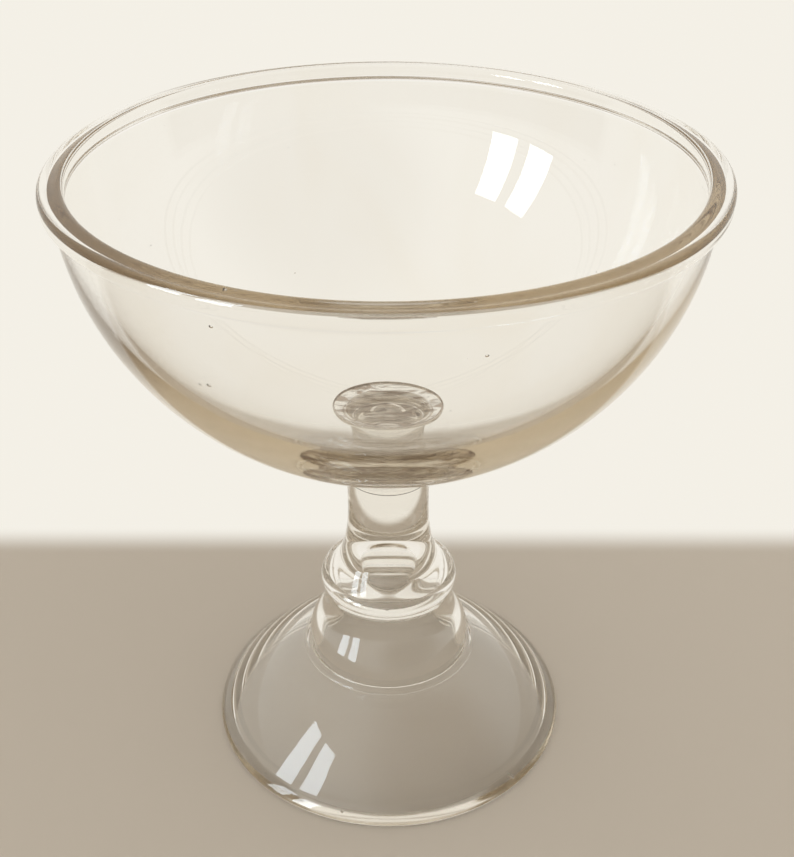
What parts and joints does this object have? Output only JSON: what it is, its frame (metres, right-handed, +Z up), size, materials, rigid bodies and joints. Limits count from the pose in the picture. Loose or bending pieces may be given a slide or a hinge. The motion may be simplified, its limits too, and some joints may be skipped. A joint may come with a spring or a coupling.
{
  "type": "pedestal dish",
  "caption": "Clear glass pedestal dish: a deep round bowl with a rolled rim, welded by a glass wafer to a stem with a ring, a rounded collar and a hollow domed foot.",
  "frame": {"origin": "centre of the base ring's underside, where the dish stands", "axes": "+Z up along the common axis of foot, stem and bowl; +X to the right and +Y away from the viewer in the picture, though the dish is round"},
  "size_m": [0.204, 0.204, 0.2184],
  "materials": {
    "bowl_glass": "clear, fire-polished, with a faint warm straw tint",
    "wafer_glass": "clear, fused to the bowl above and the stem below",
    "pedestal_glass": "clear, pressed, ground flat under the base ring"
  },
  "bodies": {
    "root": {"bowl": "bowl_glass", "joining_wafer": "wafer_glass", "pedestal": "pedestal_glass"}
  },
  "joints": []
}
